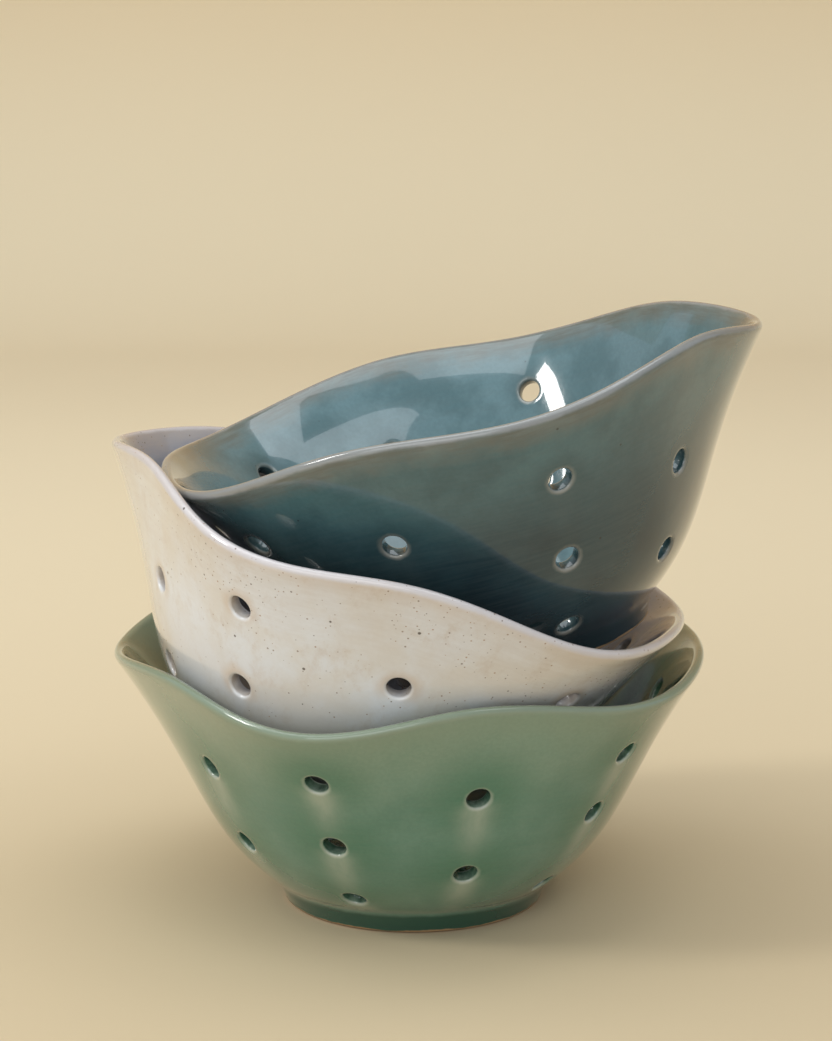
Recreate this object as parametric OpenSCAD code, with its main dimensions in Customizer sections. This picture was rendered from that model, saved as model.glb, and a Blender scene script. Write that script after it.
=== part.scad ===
// Three berry colander bowls, nested and leaning. Each bowl is one fired clay body on a foot ring.
// The rim waves: crests stand over columns of two drain holes, and dips, pressed outwards like
// soft spouts, lie over columns of three. Every rim was waved by hand, so no two are quite alike.
// Lengths are in millimetres and angles in degrees. The origin is the centre of the green bowl's
// foot, on the table. +Z is up and -Y is the front.

/* [Rim] */
// Radius of the rim before it is waved
rim_radius = 70; // [64:0.5:76]
// Height of the rim above the table before it is waved
rim_height = 63; // [56:0.5:70]
// Number of crests round the rim, with as many dips between them
crest_count = 5; // [4:1:7]
// How far a crest rises above the rim's height
crest_rise = 2; // [0:0.25:5]
// How far a crest stands outside the rim's radius
crest_reach = 0.5; // [0:0.25:3]
// How far a dip falls below the rim's height
dip_drop = 1.5; // [0:0.25:4]
// How far a dip is pressed outside the rim's radius
dip_reach = 3; // [0:0.25:6]

/* [Wall] */
// Thickness of the fired wall
wall = 3.4; // [2.8:0.1:4.4]
// Thickness of the floor
floor_thickness = 3.6; // [3:0.1:5]
// Angle of the wall from upright where it leaves the foot
foot_angle = 54; // [48:1:58]
// Angle of the wall from upright at the rim
rim_angle = 31; // [26:1:36]

/* [Foot ring] */
// Radius at which the wall meets the foot ring
foot_top_radius = 33.5; // [30:0.5:38]
// Height of the foot ring
foot_height = 5; // [4.5:0.5:7]
// How far the foot ring draws in on its way down to the table
foot_taper = 1.6; // [1:0.1:2.2]
// Radius of the soft cove between the wall and the foot ring
cove_radius = 6; // [3:0.5:6.5]
// Width of the flat band that stands on the table
foot_band = 3; // [2:0.25:4.5]
// Radius of the band's rounded edges
foot_edge = 0.8; // [0.5:0.1:1.2]
// Depth of the recess under the floor
recess_depth = 2.6; // [2:0.1:3.5]

/* [Drain holes] */
// Clear diameter of a drain hole
drain_diameter = 5.6; // [4.5:0.1:6.5]
// How far the glazed edge of a hole is eased, across and deep
drain_ease = 0.7; // [0.4:0.1:1]
// Distance of the floor's ring of holes from the bowl's axis
floor_hole_reach = 15; // [12:0.5:18]

/* [Leaning bowls] */
// Lean of the cream bowl to the right
cream_lean = 18.3; // [14:0.1:20]
// Place of the cream bowl's foot to the right of the green bowl's axis
cream_across = -21.5; // [-24:0.1:-18]
// Place of the cream bowl's foot behind the green bowl's axis
cream_behind = -9; // [-11:0.1:-5]
// Lean of the blue bowl to the right
blue_lean = -16; // [-18:0.1:-12]
// Place of the blue bowl's foot to the right of the green bowl's axis
blue_across = 25.9; // [23:0.1:29]
// Place of the blue bowl's foot behind the green bowl's axis
blue_behind = -11.5; // [-14:0.1:-6]
// Room between a bowl and the one that it rests in
seat_clearance = 0.4; // [0.3:0.05:0.8]

/* [Hidden] */

// Turn of each bowl's first crest from +X
green_turn = -147;
cream_turn = -157;
blue_turn = 179;

// Each hand-waved rim, as shares of the designed height and radius at crest, dip, crest and so on
green_rim_shares = [[0.995, 1], [0.94, 1], [0.985, 0.995], [0.97, 0.985], [0.96, 1.01],
                    [1.02, 0.995], [1, 1], [1, 1], [1.015, 1.01], [1, 1.005]];
cream_rim_shares = [[1.015, 0.98], [0.975, 0.99], [1.015, 1.005], [1, 0.985], [0.995, 0.99],
                    [1.035, 0.995], [1, 1], [1, 1], [1, 1], [0.99, 1.03]];
blue_rim_shares = [[1.01, 1], [1.015, 0.995], [1.02, 1.005], [1.02, 0.99], [1.01, 1.005],
                   [0.965, 1.035], [0.985, 0.985], [0.99, 1], [1.01, 0.995], [1.02, 1.005]];

// The holes were pushed through by hand too. A column is its turn, as a share of a station's
// angle, and then the rise of each of its holes from the lowest up, as a share of the wall's way up
green_hole_shares = [[0.08, 0.04, 0.03], [0.02, 0, 0, -0.01], [0, -0.01, 0.015],
                     [0.03, -0.01, 0.065, 0], [0.19, 0.02, 0.14], [0, 0, 0, 0],
                     [0, 0, 0], [0, 0, 0, 0], [0, 0, 0], [0, 0, 0, 0]];
cream_hole_shares = [[0.03, 0.02, 0], [-0.02, 0, 0, 0], [0.02, 0.015, 0.015],
                     [0.11, 0, 0, -0.01], [0, 0, 0], [-0.38, 0, 0, 0.01],
                     [0, 0, 0], [0, 0, 0, 0], [0, 0, 0], [0, 0, 0, 0]];
blue_hole_shares = [[0, 0, 0], [0.09, 0, 0, 0], [0, 0.03, 0.03],
                    [0.045, 0, 0.01, -0.01], [0.06, -0.015, -0.015], [0, 0, 0, 0],
                    [0, 0, 0], [0.05, 0, 0, 0.01], [0.1, 0.04, 0.04], [0.05, 0, 0, 0.01]];

// How far the wall keeps its foot angle and its rim angle, as shares of the straight line between
foot_pull_share = 0.36;
rim_pull_share = 0.53;

// Places of the drain holes, as shares of the way up the wall
two_hole_shares = [0.33, 0.69];
three_hole_shares = [0.12, 0.49, 0.82];

// Rings of points up the wall, as shares of the way up
ring_shares = [0, 0.06, 0.13, 0.22, 0.32, 0.42, 0.52, 0.62, 0.72, 0.82, 0.91];

station_count = 2 * crest_count;
station_angle = 360 / station_count;
wanted_facets = 70;
facet_count = station_count * round(wanted_facets / station_count);
facet_angle = 360 / facet_count;
lip_steps = 4;
floor_bend_steps = 2;
foot_facets = 96;
cove_steps = 3;
foot_ledge = 0.1;
hole_facets = 32;
edge_steps = 3;
cut_overrun = 2;
foot_overlap = 0.6;
floor_height = recess_depth + floor_thickness;
search_turns = 14;

// The rim's height and radius at one station, a crest where the number is even
function is_crest(k) = k % 2 == 0;
function station_height(rim, k) =
    (rim_height + (is_crest(k) ? crest_rise : -dip_drop)) * rim[k % len(rim)][0];
function station_radius(rim, k) =
    (rim_radius + (is_crest(k) ? crest_reach : dip_reach)) * rim[k % len(rim)][1];

// A smooth wave through the stations, level at each crest and dip
function turned(a) = a - 360 * floor(a / 360);
function eased(x) = (1 - cos(180 * x)) / 2;
function rim_point(rim, a) =
    let (u = turned(a) / station_angle,
         k = floor(u) % station_count,
         f = eased(u - floor(u)),
         next = (k + 1) % station_count)
    [station_radius(rim, k) * (1 - f) + station_radius(rim, next) * f,
     station_height(rim, k) * (1 - f) + station_height(rim, next) * f];

// The wall's outside at one azimuth is a cubic curve from the foot to the rim, as [radius, height]
function wall_controls(rim, a) =
    let (start = [foot_top_radius, foot_height],
         thrown = [rim_radius, rim_height],
         span = norm(thrown - start))
    [start,
     start + span * foot_pull_share * [sin(foot_angle), cos(foot_angle)],
     thrown - span * rim_pull_share * [sin(rim_angle), cos(rim_angle)],
     rim_point(rim, a)];
function curve_point(c, s) =
    pow(1 - s, 3) * c[0] + 3 * pow(1 - s, 2) * s * c[1] + 3 * (1 - s) * s * s * c[2] + pow(s, 3) * c[3];
function curve_slope(c, s) =
    pow(1 - s, 2) * (c[1] - c[0]) + 2 * (1 - s) * s * (c[2] - c[1]) + s * s * (c[3] - c[2]);
function along(c, s) = curve_slope(c, s) / norm(curve_slope(c, s));
function inward(c, s) = [-along(c, s)[1], along(c, s)[0]];

// The cove is an arc that leaves the foot ring's side and runs out along the wall
side_angle = atan2(foot_taper, foot_height - foot_edge);
cove_run = cove_radius * tan((foot_angle - side_angle) / 2);
cove_start = [foot_top_radius, foot_height] - cove_run * [sin(side_angle), cos(side_angle)];
cove_centre = cove_start + cove_radius * [cos(side_angle), -sin(side_angle)];
cove = [for (i = [0:cove_steps]) let (t = side_angle + (foot_angle - side_angle) * i / cove_steps)
    cove_centre + cove_radius * [-cos(t), sin(t)]];

// The wall's outside from the foot up, without the rounded lip
function outside(c) = concat(cove, [for (s = ring_shares) if (s > 0) curve_point(c, s)]);
// The lip is half a circle as wide as the wall, from its outer side over to its inner side
function lip(c, room) =
    let (half = wall / 2, up = along(c, 1), in = inward(c, 1), centre = c[3] + half * (in - up))
    [for (i = [0:lip_steps]) let (t = 180 * i / lip_steps)
        centre + (half + room) * (sin(t) * up - cos(t) * in)];
// The inside from the lip down, a given distance from the outside, and its bend into the floor
function inside(c, depth) =
    [for (i = [len(ring_shares) - 1:-1:0])
        curve_point(c, ring_shares[i]) + depth * inward(c, ring_shares[i])];
function floor_bend(c, depth, level) =
    let (top = c[0] + depth * inward(c, 0),
         corner = [top[0] - (top[1] - level) * tan(foot_angle), level],
         end = [corner[0] - wall, level])
    [for (i = [1:floor_bend_steps]) let (t = i / floor_bend_steps)
        pow(1 - t, 2) * top + 2 * (1 - t) * t * corner + t * t * end];
function profile(rim, a) =
    let (c = wall_controls(rim, a))
    concat(outside(c), lip(c, 0), inside(c, wall), floor_bend(c, wall, floor_height));

// The profiles lie half a facet to each side of a column of holes, so no hole is cut along an edge
function profile_azimuth(k) = facet_angle * (k + 0.5);

// A point given by radius, azimuth and height
function polar(p, a) = [p[0] * cos(a), p[0] * sin(a), p[1]];

// The wall and floor of one bowl, as a skin through its profiles
module wall_and_floor(rim) {
    profiles = [for (k = [0:facet_count - 1]) profile(rim, profile_azimuth(k))];
    ring = len(profiles[0]);
    points = [for (k = [0:facet_count - 1]) each [for (p = profiles[k]) polar(p, profile_azimuth(k))]];
    skin = [for (k = [0:facet_count - 1]) let (here = k * ring, next = (k + 1) % facet_count * ring)
            each [for (j = [0:ring - 2])
                each [[here + j, here + j + 1, next + j + 1], [here + j, next + j + 1, next + j]]]];
    underside = [for (k = [0:facet_count - 1]) k * ring];
    floor_top = [for (k = [facet_count - 1:-1:0]) k * ring + ring - 1];
    polyhedron(points, concat(skin, [underside, floor_top]), convexity = 8);
}

// The foot ring, solid as it is thrown. It stands a hair inside the wall's lowest facets, so that
// no two edges coincide.
foot_top = [foot_top_radius - foot_ledge, foot_height];
foot_bottom_radius = foot_top[0] - foot_taper;
band_inner_radius = foot_bottom_radius - 2 * foot_edge - foot_band;
edge_turns = [for (i = [0:edge_steps]) 90 * i / edge_steps];

module foot_ring() {
    edge = [for (t = edge_turns) [foot_bottom_radius - foot_edge * (1 - cos(t)), foot_edge * (1 - sin(t))]];
    rotate_extrude($fn = foot_facets)
        polygon(concat([foot_top + [0, foot_overlap], foot_top], edge,
                       [[0, 0], [0, foot_height + foot_overlap]]));
}

// The recess that is turned out of the underside, which leaves the band that the bowl stands on
module recess() {
    edge = [for (t = edge_turns) [band_inner_radius + foot_edge * (1 - sin(t)), foot_edge * (1 - cos(t))]];
    rotate_extrude($fn = foot_facets)
        polygon(concat([[0, -cut_overrun], edge[0] - [0, cut_overrun]], edge,
                       [[band_inner_radius - foot_taper, recess_depth], [0, recess_depth]]));
}

// A drain hole through the wall, eased at both mouths and square to the wall's outside
module wall_hole(rim, a, share) {
    c = wall_controls(rim, a);
    out = -inward(c, share);
    bore = drain_diameter / 2;
    mouth = bore + drain_ease;
    translate(polar(curve_point(c, share), a))
        rotate([0, 90 - atan2(out[1], out[0]), a])
        rotate_extrude($fn = hole_facets)
            polygon([[0, cut_overrun], [mouth, cut_overrun], [mouth, 0], [bore, -drain_ease],
                     [bore, drain_ease - wall], [mouth, -wall], [mouth, -wall - cut_overrun],
                     [0, -wall - cut_overrun]]);
}

// Two holes under each crest and three under each dip
module wall_holes(rim, holes) {
    for (k = [0:station_count - 1])
        let (shares = is_crest(k) ? two_hole_shares : three_hole_shares, column = holes[k % len(holes)])
        for (i = [0:len(shares) - 1])
            wall_hole(rim, (k + column[0]) * station_angle, shares[i] + column[i + 1]);
}

// One hole in the middle of the floor and one towards each dip
module floor_holes() {
    bore = drain_diameter / 2;
    middle = [0, 0, recess_depth - cut_overrun];
    ring = [for (k = [1:2:station_count - 1]) polar([floor_hole_reach, middle[2]], k * station_angle)];
    for (place = concat([middle], ring))
        translate(place) cylinder(r = bore, h = floor_thickness + 2 * cut_overrun, $fn = hole_facets);
}

// One bowl, upright, with the middle of its foot at the origin and its first crest on +X
module bowl(rim, holes) {
    difference() {
        union() {
            wall_and_floor(rim);
            foot_ring();
        }
        recess();
        wall_holes(rim, holes);
        floor_holes();
    }
}

// A point moved with a bowl: turned about its axis, leaned to the right, then put in its place
function leaned(p, lean) = [p[0] * cos(lean) + p[2] * sin(lean), p[1], p[2] * cos(lean) - p[0] * sin(lean)];
function spun(p, turn) = [p[0] * cos(turn) - p[1] * sin(turn), p[0] * sin(turn) + p[1] * cos(turn), p[2]];
function placed(p, turn, lean, place) = leaned(spun(p, turn), lean) + place;

// The outside of a bowl that can touch the bowl below: its wall, its lip and its foot's lower edge
function touching_points(rim) =
    [for (k = [0:facet_count - 1])
        let (a = profile_azimuth(k), c = wall_controls(rim, a), foot = [foot_bottom_radius, 0])
        each [for (p = concat(outside(c), lip(c, 0), [foot])) polar(p, a)]];

// The inside of a bowl with the clearance laid on it, as height over radius at each azimuth
function seat_profile(rim, a) =
    let (c = wall_controls(rim, a),
         depth = wall + seat_clearance,
         over_lip = [for (i = [1:lip_steps]) lip(c, seat_clearance)[i]],
         bend = floor_bend(c, depth, floor_height + seat_clearance),
         down = concat(over_lip, inside(c, depth), bend))
    concat([[0, floor_height + seat_clearance]], [for (i = [len(down) - 1:-1:0]) down[i]]);
function seat_profiles(rim) = [for (k = [0:facet_count]) seat_profile(rim, profile_azimuth(k))];

// Room under a point that is given in the lower bowl's own frame, none of it past the rim
function room_under(seat, p) =
    let (u = turned(atan2(p[1], p[0]) - profile_azimuth(0)) / facet_angle,
         k = min(floor(u), facet_count - 1),
         r = norm([p[0], p[1]]),
         open = r > max([for (q = seat[k]) q[0]]))
    open ? rim_height : p[2] - lookup(r, seat[k]) * (k + 1 - u) - lookup(r, seat[k + 1]) * (u - k);

// The height at which a bowl comes to rest in the one below, halving the search each time
function least_room(seat, points, up, lift) = min([for (p = points) room_under(seat, p + lift * up)]);
function settled(seat, points, up, low, high, turns) =
    turns == 0 ? high :
    let (middle = (low + high) / 2)
    least_room(seat, points, up, middle) < 0
        ? settled(seat, points, up, middle, high, turns - 1)
        : settled(seat, points, up, low, middle, turns - 1);
function rest_height(rim, turn, lean, across, behind, low_rim, low_turn, low_lean, low_place) =
    let (flat = [for (p = touching_points(rim)) placed(p, turn, lean, [across, behind, 0])],
         points = [for (p = flat) spun(leaned(p - low_place, -low_lean), -low_turn)],
         up = spun(leaned([0, 0, 1], -low_lean), -low_turn))
    settled(seat_profiles(low_rim), points, up, low_place[2], low_place[2] + 2 * rim_height, search_turns);

green_place = [0, 0, 0];
cream_place = [cream_across, cream_behind,
               rest_height(cream_rim_shares, cream_turn, cream_lean, cream_across, cream_behind,
                           green_rim_shares, green_turn, 0, green_place)];
blue_place = [blue_across, blue_behind,
              rest_height(blue_rim_shares, blue_turn, blue_lean, blue_across, blue_behind,
                          cream_rim_shares, cream_turn, cream_lean, cream_place)];

module green_bowl() {
    color("darkseagreen")
        rotate([0, 0, green_turn])
        bowl(green_rim_shares, green_hole_shares);
}

module cream_bowl() {
    color("antiquewhite")
        translate(cream_place)
        rotate([0, cream_lean, 0])
        rotate([0, 0, cream_turn])
        bowl(cream_rim_shares, cream_hole_shares);
}

module blue_bowl() {
    color("cadetblue")
        translate(blue_place)
        rotate([0, blue_lean, 0])
        rotate([0, 0, blue_turn])
        bowl(blue_rim_shares, blue_hole_shares);
}

green_bowl();
cream_bowl();
blue_bowl();
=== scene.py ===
# %% [markdown]
# # Nested berry colander bowls
#
# Three stoneware bowls of one design stand in each other: a celadon green one on the table, a
# speckled cream one leaning in it, and a slate blue one leaning the other way on top. The
# construction model gives each bowl its size and its place. This scene gives it a smooth hand-made
# skin, rounded drain holes and its glaze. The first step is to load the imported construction, whose
# box also tells, at the end, whether the dressed bowls kept their size.

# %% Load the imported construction
import math
from functools import lru_cache

import bmesh
import bpy
from mathutils import Matrix, Vector


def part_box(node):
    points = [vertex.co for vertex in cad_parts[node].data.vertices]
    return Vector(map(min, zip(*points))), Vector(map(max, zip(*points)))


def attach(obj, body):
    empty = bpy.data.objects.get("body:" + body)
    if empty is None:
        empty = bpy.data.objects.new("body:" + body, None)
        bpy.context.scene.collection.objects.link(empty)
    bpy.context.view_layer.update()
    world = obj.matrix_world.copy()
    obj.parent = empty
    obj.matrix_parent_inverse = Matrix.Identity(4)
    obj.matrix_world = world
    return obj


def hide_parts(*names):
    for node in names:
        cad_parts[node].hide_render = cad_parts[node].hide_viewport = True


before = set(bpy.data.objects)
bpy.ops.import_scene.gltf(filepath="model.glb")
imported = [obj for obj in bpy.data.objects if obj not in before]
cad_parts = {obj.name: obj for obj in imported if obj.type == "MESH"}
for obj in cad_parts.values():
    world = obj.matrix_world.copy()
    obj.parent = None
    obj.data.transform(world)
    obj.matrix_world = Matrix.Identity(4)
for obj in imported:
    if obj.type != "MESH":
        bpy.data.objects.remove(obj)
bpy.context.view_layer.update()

print("packed bowls:", ", ".join(sorted(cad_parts)))

# %% [markdown]
# ## Camera
#
# A scene can be framed by eye, or the camera can be worked out from the picture. Here the rims of
# all three bowls gave its height, distance and tilt. A long lens keeps the bowls from bulging, as a
# product photographer would have it.

# %% Camera
CAMERA_PLACE = (0.0007, -0.6838, 0.2306)
CAMERA_TILT = 78.66
LENS = 100

camera_data = bpy.data.cameras.new("camera")
camera_data.lens = LENS
camera_data.sensor_width = 36
camera = bpy.data.objects.new("camera", camera_data)
camera.location = CAMERA_PLACE
camera.rotation_euler = (math.radians(CAMERA_TILT), 0, 0)
bpy.context.collection.objects.link(camera)
bpy.context.scene.camera = camera
print("camera stands", round(-CAMERA_PLACE[1], 2), "m in front of the bowls")

# %% [markdown]
# ## Sizes
#
# The bowls are drawn in millimetres and turned into metres at the end. These are the sizes of the
# construction model, repeated under the same names, so that the skin lies where the solid lies.

# %% Sizes in millimetres
MM = 0.001
RIM_RADIUS = 70
RIM_HEIGHT = 63
CREST_RISE = 2
CREST_REACH = 0.5
DIP_DROP = 1.5
DIP_REACH = 3
WALL = 3.4
FLOOR_THICKNESS = 3.6
FOOT_ANGLE = math.radians(54)
RIM_ANGLE = math.radians(31)
FOOT_TOP_RADIUS = 33.5
FOOT_HEIGHT = 5
FOOT_TAPER = 1.6
COVE_RADIUS = 6
FOOT_LEDGE = 0.1
FOOT_BAND = 3
FOOT_EDGE = 0.8
RECESS_DEPTH = 2.6
DRAIN_DIAMETER = 5.6
DRAIN_EASE = 0.7
FLOOR_HOLE_REACH = 15
FOOT_PULL_SHARE = 0.36
RIM_PULL_SHARE = 0.53
STATIONS = 10
STATION_ANGLE = 360 / STATIONS
FLOOR_HEIGHT = RECESS_DEPTH + FLOOR_THICKNESS
print("a bowl is about", 2 * (RIM_RADIUS + DIP_REACH), "mm across and", RIM_HEIGHT, "mm high")

# %% [markdown]
# ## A rim waved by hand
#
# Ten stations stand round the rim, a crest and a dip in turn. The potter waved each rim by hand, so
# each station has its own share of the designed height and radius. Between two stations the rim
# follows half a cosine wave, which is level at both and has no kink. The holes were pushed through
# by hand too, so each column has a small turn of its own, and each hole in it a small rise.

# %% The three rims and how each bowl is turned and leaned
RIMS = {
    "green_bowl": [(0.995, 1), (0.94, 1), (0.985, 0.995), (0.97, 0.985), (0.96, 1.01),
                   (1.02, 0.995), (1, 1), (1, 1), (1.015, 1.01), (1, 1.005)],
    "cream_bowl": [(1.015, 0.98), (0.975, 0.99), (1.015, 1.005), (1, 0.985), (0.995, 0.99),
                   (1.035, 0.995), (1, 1), (1, 1), (1, 1), (0.99, 1.03)],
    "blue_bowl": [(1.01, 1), (1.015, 0.995), (1.02, 1.005), (1.02, 0.99), (1.01, 1.005),
                  (0.965, 1.035), (0.985, 0.985), (0.99, 1), (1.01, 0.995), (1.02, 1.005)],
}
HOLES = {
    "green_bowl": [(0.08, 0.04, 0.03), (0.02, 0, 0, -0.01), (0, -0.01, 0.015),
                   (0.03, -0.01, 0.065, 0), (0.19, 0.02, 0.14), (0, 0, 0, 0),
                   (0, 0, 0), (0, 0, 0, 0), (0, 0, 0), (0, 0, 0, 0)],
    "cream_bowl": [(0.03, 0.02, 0), (-0.02, 0, 0, 0), (0.02, 0.015, 0.015),
                   (0.11, 0, 0, -0.01), (0, 0, 0), (-0.38, 0, 0, 0.01),
                   (0, 0, 0), (0, 0, 0, 0), (0, 0, 0), (0, 0, 0, 0)],
    "blue_bowl": [(0, 0, 0), (0.09, 0, 0, 0), (0, 0.03, 0.03),
                  (0.045, 0, 0.01, -0.01), (0.06, -0.015, -0.015), (0, 0, 0, 0),
                  (0, 0, 0), (0.05, 0, 0, 0.01), (0.1, 0.04, 0.04), (0.05, 0, 0, 0.01)],
}
TURNS = {"green_bowl": -147, "cream_bowl": -157, "blue_bowl": 179}
LEANS = {"green_bowl": 0, "cream_bowl": 18.3, "blue_bowl": -16}


def is_crest(station):
    return station % 2 == 0


def station_point(rim, station):
    """The rim's radius and height at one station"""
    height_share, radius_share = RIMS[rim][station % STATIONS]
    if is_crest(station):
        return Vector(((RIM_RADIUS + CREST_REACH) * radius_share, (RIM_HEIGHT + CREST_RISE) * height_share))
    return Vector(((RIM_RADIUS + DIP_REACH) * radius_share, (RIM_HEIGHT - DIP_DROP) * height_share))


def rim_point(rim, azimuth):
    stations_round = (azimuth % 360) / STATION_ANGLE
    station = int(stations_round)
    eased = (1 - math.cos(math.pi * (stations_round - station))) / 2
    return station_point(rim, station).lerp(station_point(rim, station + 1), eased)


for rim in RIMS:
    heights = [rim_point(rim, azimuth).y for azimuth in range(360)]
    print(rim, "rim runs from", round(min(heights), 1), "to", round(max(heights), 1), "mm high")

# %% [markdown]
# ## The wall's curve
#
# A bowl thrown on a wheel could be spun from one profile, but this one changes all the way round.
# So the wall at each azimuth is a cubic curve of its own: it leaves the foot at one angle and
# reaches the waved rim at another. A place on the wall is then an azimuth, a share of the way up
# and a depth into the clay.


# %% The wall's curve
@lru_cache(maxsize=None)
def wall_controls(rim, azimuth):
    start = Vector((FOOT_TOP_RADIUS, FOOT_HEIGHT))
    thrown = Vector((RIM_RADIUS, RIM_HEIGHT))
    span = (thrown - start).length
    foot_pull = span * FOOT_PULL_SHARE * Vector((math.sin(FOOT_ANGLE), math.cos(FOOT_ANGLE)))
    rim_pull = span * RIM_PULL_SHARE * Vector((math.sin(RIM_ANGLE), math.cos(RIM_ANGLE)))
    return start, start + foot_pull, thrown - rim_pull, rim_point(rim, azimuth)


def curve_point(controls, share):
    a, b, c, d = controls
    left = 1 - share
    return left ** 3 * a + 3 * left ** 2 * share * b + 3 * left * share ** 2 * c + share ** 3 * d


def curve_slope(controls, share):
    a, b, c, d = controls
    left = 1 - share
    return 3 * (left ** 2 * (b - a) + 2 * left * share * (c - b) + share ** 2 * (d - c))


def round_axis(radius, azimuth, height):
    angle = math.radians(azimuth)
    return Vector((radius * math.cos(angle), radius * math.sin(angle), height))


def wall_point(rim, azimuth, share, depth):
    controls = wall_controls(rim, azimuth)
    along = curve_slope(controls, share).normalized()
    radius, height = curve_point(controls, share) + depth * Vector((-along.y, along.x))
    return round_axis(radius, azimuth, height)


def floor_point(rim, azimuth, radius, depth):
    return round_axis(radius, azimuth, FLOOR_HEIGHT - depth)


controls = wall_controls("green_bowl", 0)
wall_run = sum(curve_slope(controls, step / 100).length for step in range(100)) / 100
rim_speed = curve_slope(controls, 1).length
print("the wall runs", round(wall_run, 1), "mm from foot to rim")

# %% [markdown]
# ## A flat sheet with holes, bent into a bowl
#
# Round holes in a curved wall could be cut with booleans, but these leave torn faces round every
# hole, where a glaze should run smoothly over the edge. A cleaner way is to pierce a flat sheet
# first. The sheet is as wide as one turn in degrees and as high as the wall in shares. Where a hole
# goes, a block of its faces is dissolved into one face, and that face is extruded again and again
# while its corners are drawn onto smaller and deeper circles. The copy of the sheet at the wall's
# depth closes the far side, and at last the whole sheet is bent by the wall's curve.

# %% The drain hole's rings, from one mouth through the wall to the other
BORE = DRAIN_DIAMETER / 2
MOUTH = BORE + DRAIN_EASE
HALO = 0.8
BLOCK_REACH = MOUTH + 1.5
EASE_STEPS = 3


def tunnel_rings(thickness):
    """Radius and depth of each ring after the first mouth: eased edge, straight bore, eased edge"""
    turns = [math.pi / 2 * step / EASE_STEPS for step in range(EASE_STEPS + 1)]
    eased = [(MOUTH - DRAIN_EASE * math.sin(turn), DRAIN_EASE * (1 - math.cos(turn))) for turn in turns]
    far_edge = [(radius, thickness - depth) for radius, depth in reversed(eased)]
    return eased[1:] + far_edge


print("a tunnel through the wall has", len(tunnel_rings(WALL)), "rings")


# %% Piercing the flat sheet
def flat_sheet(columns, rows, low, high):
    sheet = bmesh.new()
    bmesh.ops.create_grid(sheet, x_segments=columns, y_segments=rows, size=0.5)
    bmesh.ops.translate(sheet, vec=(0.5, 0.5, 0), verts=sheet.verts)
    bmesh.ops.scale(sheet, vec=(360, high - low, 1), verts=sheet.verts)
    bmesh.ops.translate(sheet, vec=(-STATION_ANGLE / 2, low, 0), verts=sheet.verts)
    return sheet


def millimetres_per_unit(bend, rim, azimuth, height):
    """How long one degree and one unit of the sheet's height are once it is bent"""
    step = 0.01
    here = bend(rim, azimuth, height, 0)
    across = (bend(rim, azimuth + step, height, 0) - here).length / step
    along = (bend(rim, azimuth, height + step, 0) - here).length / step
    return across, along


def block_face(sheet, middles, place, scale):
    """Dissolves the block of faces round a hole's place into one face"""
    block = [face for face, middle in middles.items()
             if abs(middle.x - place[0]) * scale[0] < BLOCK_REACH
             and abs(middle.y - place[1]) * scale[1] < BLOCK_REACH]
    for face in block:
        del middles[face]
    return bmesh.ops.dissolve_faces(sheet, faces=block)["region"][0]


def draw_ring(sheet, plug, place, scale, radius, depth):
    """Extrudes the plug and draws its corners onto a circle of this radius at this depth"""
    plug = bmesh.ops.extrude_discrete_faces(sheet, faces=[plug])["faces"][0]
    for corner in plug.verts:
        away = Vector(((corner.co.x - place[0]) * scale[0], (corner.co.y - place[1]) * scale[1]))
        away = away.normalized() * radius
        corner.co = (place[0] + away.x / scale[0], place[1] + away.y / scale[1], depth)
    return plug


def pierce(sheet, bend, rim, places, thickness):
    """Opens a tunnel at each place and lays a copy of the sheet over the tunnels' far ends"""
    plugs = []
    middles = {face: face.calc_center_median() for face in sheet.faces}
    for place in places:
        scale = millimetres_per_unit(bend, rim, *place)
        plug = block_face(sheet, middles, place, scale)
        plug = draw_ring(sheet, plug, place, scale, MOUTH + HALO, 0)
        plugs.append((draw_ring(sheet, plug, place, scale, MOUTH, 0), place, scale))
    copied = bmesh.ops.duplicate(sheet, geom=sheet.verts[:] + sheet.edges[:] + sheet.faces[:])
    far_side = [item for item in copied["geom"] if isinstance(item, bmesh.types.BMVert)]
    bmesh.ops.translate(sheet, vec=(0, 0, thickness), verts=far_side)
    closing = [copied["face_map"][plug] for plug, place, scale in plugs]
    for plug, place, scale in plugs:
        for radius, depth in tunnel_rings(thickness):
            plug = draw_ring(sheet, plug, place, scale, radius, depth)
        closing.append(plug)
    bmesh.ops.delete(sheet, geom=closing, context="FACES_ONLY")


# %% [markdown]
# ## Marks for the glaze
#
# Glaze is thin where it runs off an edge and thick where it pools, and that, with painted shade in
# the holes, at the foot and inside the bowls, colours these bowls. A texture can't know where the
# edges are, but the mesh does. So every point is given a few distances while the sheet is still
# flat: to the rim, to the nearest hole, to the streak below a hole, to the table. They are stored as
# named attributes, which the materials read later. Inside a tunnel the distance from the hole goes
# below zero, so that one number tells mouth from bore.

# %% Distances stored on every point
MARKS = ("rim_gap", "hole_gap", "streak", "foot_gap", "inside")
FAR = 60
STREAK_HALF_WIDTH = 4
STREAK_LENGTH = 12


def mark(piece, point, **values):
    for name in MARKS:
        point[piece.verts.layers.float[name]] = values[name]


def add_marks(piece):
    for name in MARKS:
        piece.verts.layers.float.new(name)


def bore_gap(distance, depth, thickness):
    """How far a point lies outside the nearest mouth, or below zero how deep in its tunnel"""
    return distance - BORE - min(depth, thickness - depth)


def streak_share(aside, below):
    """How strongly a hole's streak runs through a point this far aside of it and below it"""
    if below < 0:
        return 0
    run = below / MOUTH if below < MOUTH else math.exp(-((below - MOUTH) / STREAK_LENGTH) ** 2)
    return run * math.exp(-(aside / STREAK_HALF_WIDTH) ** 2)


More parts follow.
